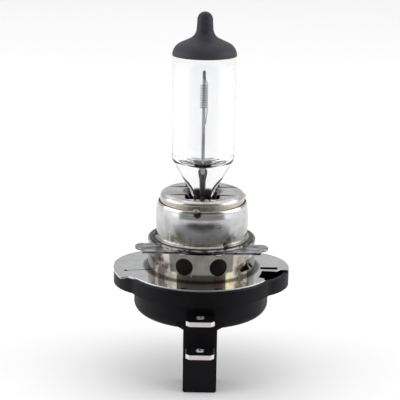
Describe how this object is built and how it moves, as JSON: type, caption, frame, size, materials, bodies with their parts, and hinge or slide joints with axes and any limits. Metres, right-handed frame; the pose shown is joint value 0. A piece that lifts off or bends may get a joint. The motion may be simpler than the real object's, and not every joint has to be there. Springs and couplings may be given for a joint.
{
  "type": "headlight bulb",
  "caption": "Halogen headlight bulb: clear quartz burner in a vented round metal cap, a three-lug prefocus ring, a spring flange plate and a plastic base with two side blades.",
  "frame": {"origin": "on the bulb axis, in the reference plane that the underside of the prefocus ring lies in", "axes": "+Z along the bulb axis towards the glass tip, -Y the way the terminal blades point, +X to the right when looking along +Y"},
  "size_m": [0.0312, 0.0303, 0.0641],
  "materials": {
    "quartz_glass": "clear",
    "black_coating": "matt anti-glare coat",
    "tungsten": "drawn tungsten wire",
    "molybdenum": "dull drawn wire",
    "lead_wire": "dull wire",
    "cap_steel": "satin stainless sheet",
    "sleeve_steel": "satin stainless sheet",
    "dark_steel": "oxidised steel",
    "collar_steel": "polished, warm heat tint",
    "ring_steel": "satin",
    "plate_steel": "mirror polished spring steel",
    "weld_steel": "weld nugget",
    "base_plastic": "fine moulded",
    "terminal_metal": "tinned",
    "insulator": "mica board"
  },
  "bodies": {
    "root": {"glass_envelope": "quartz_glass", "anti_glare_coating": "black_coating", "filament_coil": "tungsten", "long_support_wire": "molybdenum", "short_support_wire": "molybdenum", "long_seal_foil": "molybdenum", "short_seal_foil": "molybdenum", "long_outer_lead": "lead_wire", "short_outer_lead": "lead_wire", "inner_cap": "cap_steel", "outer_sleeve": "sleeve_steel", "sleeve_welds": "weld_steel", "vented_collar": "collar_steel", "seat_ring": "dark_steel", "lip_welds": "weld_steel", "prefocus_ring": "ring_steel", "flange_plate": "plate_steel", "base_housing": "base_plastic", "upper_terminal": "terminal_metal", "lower_terminal": "terminal_metal", "lead_welds": "weld_steel", "insulator_disc": "insulator"}
  },
  "joints": []
}
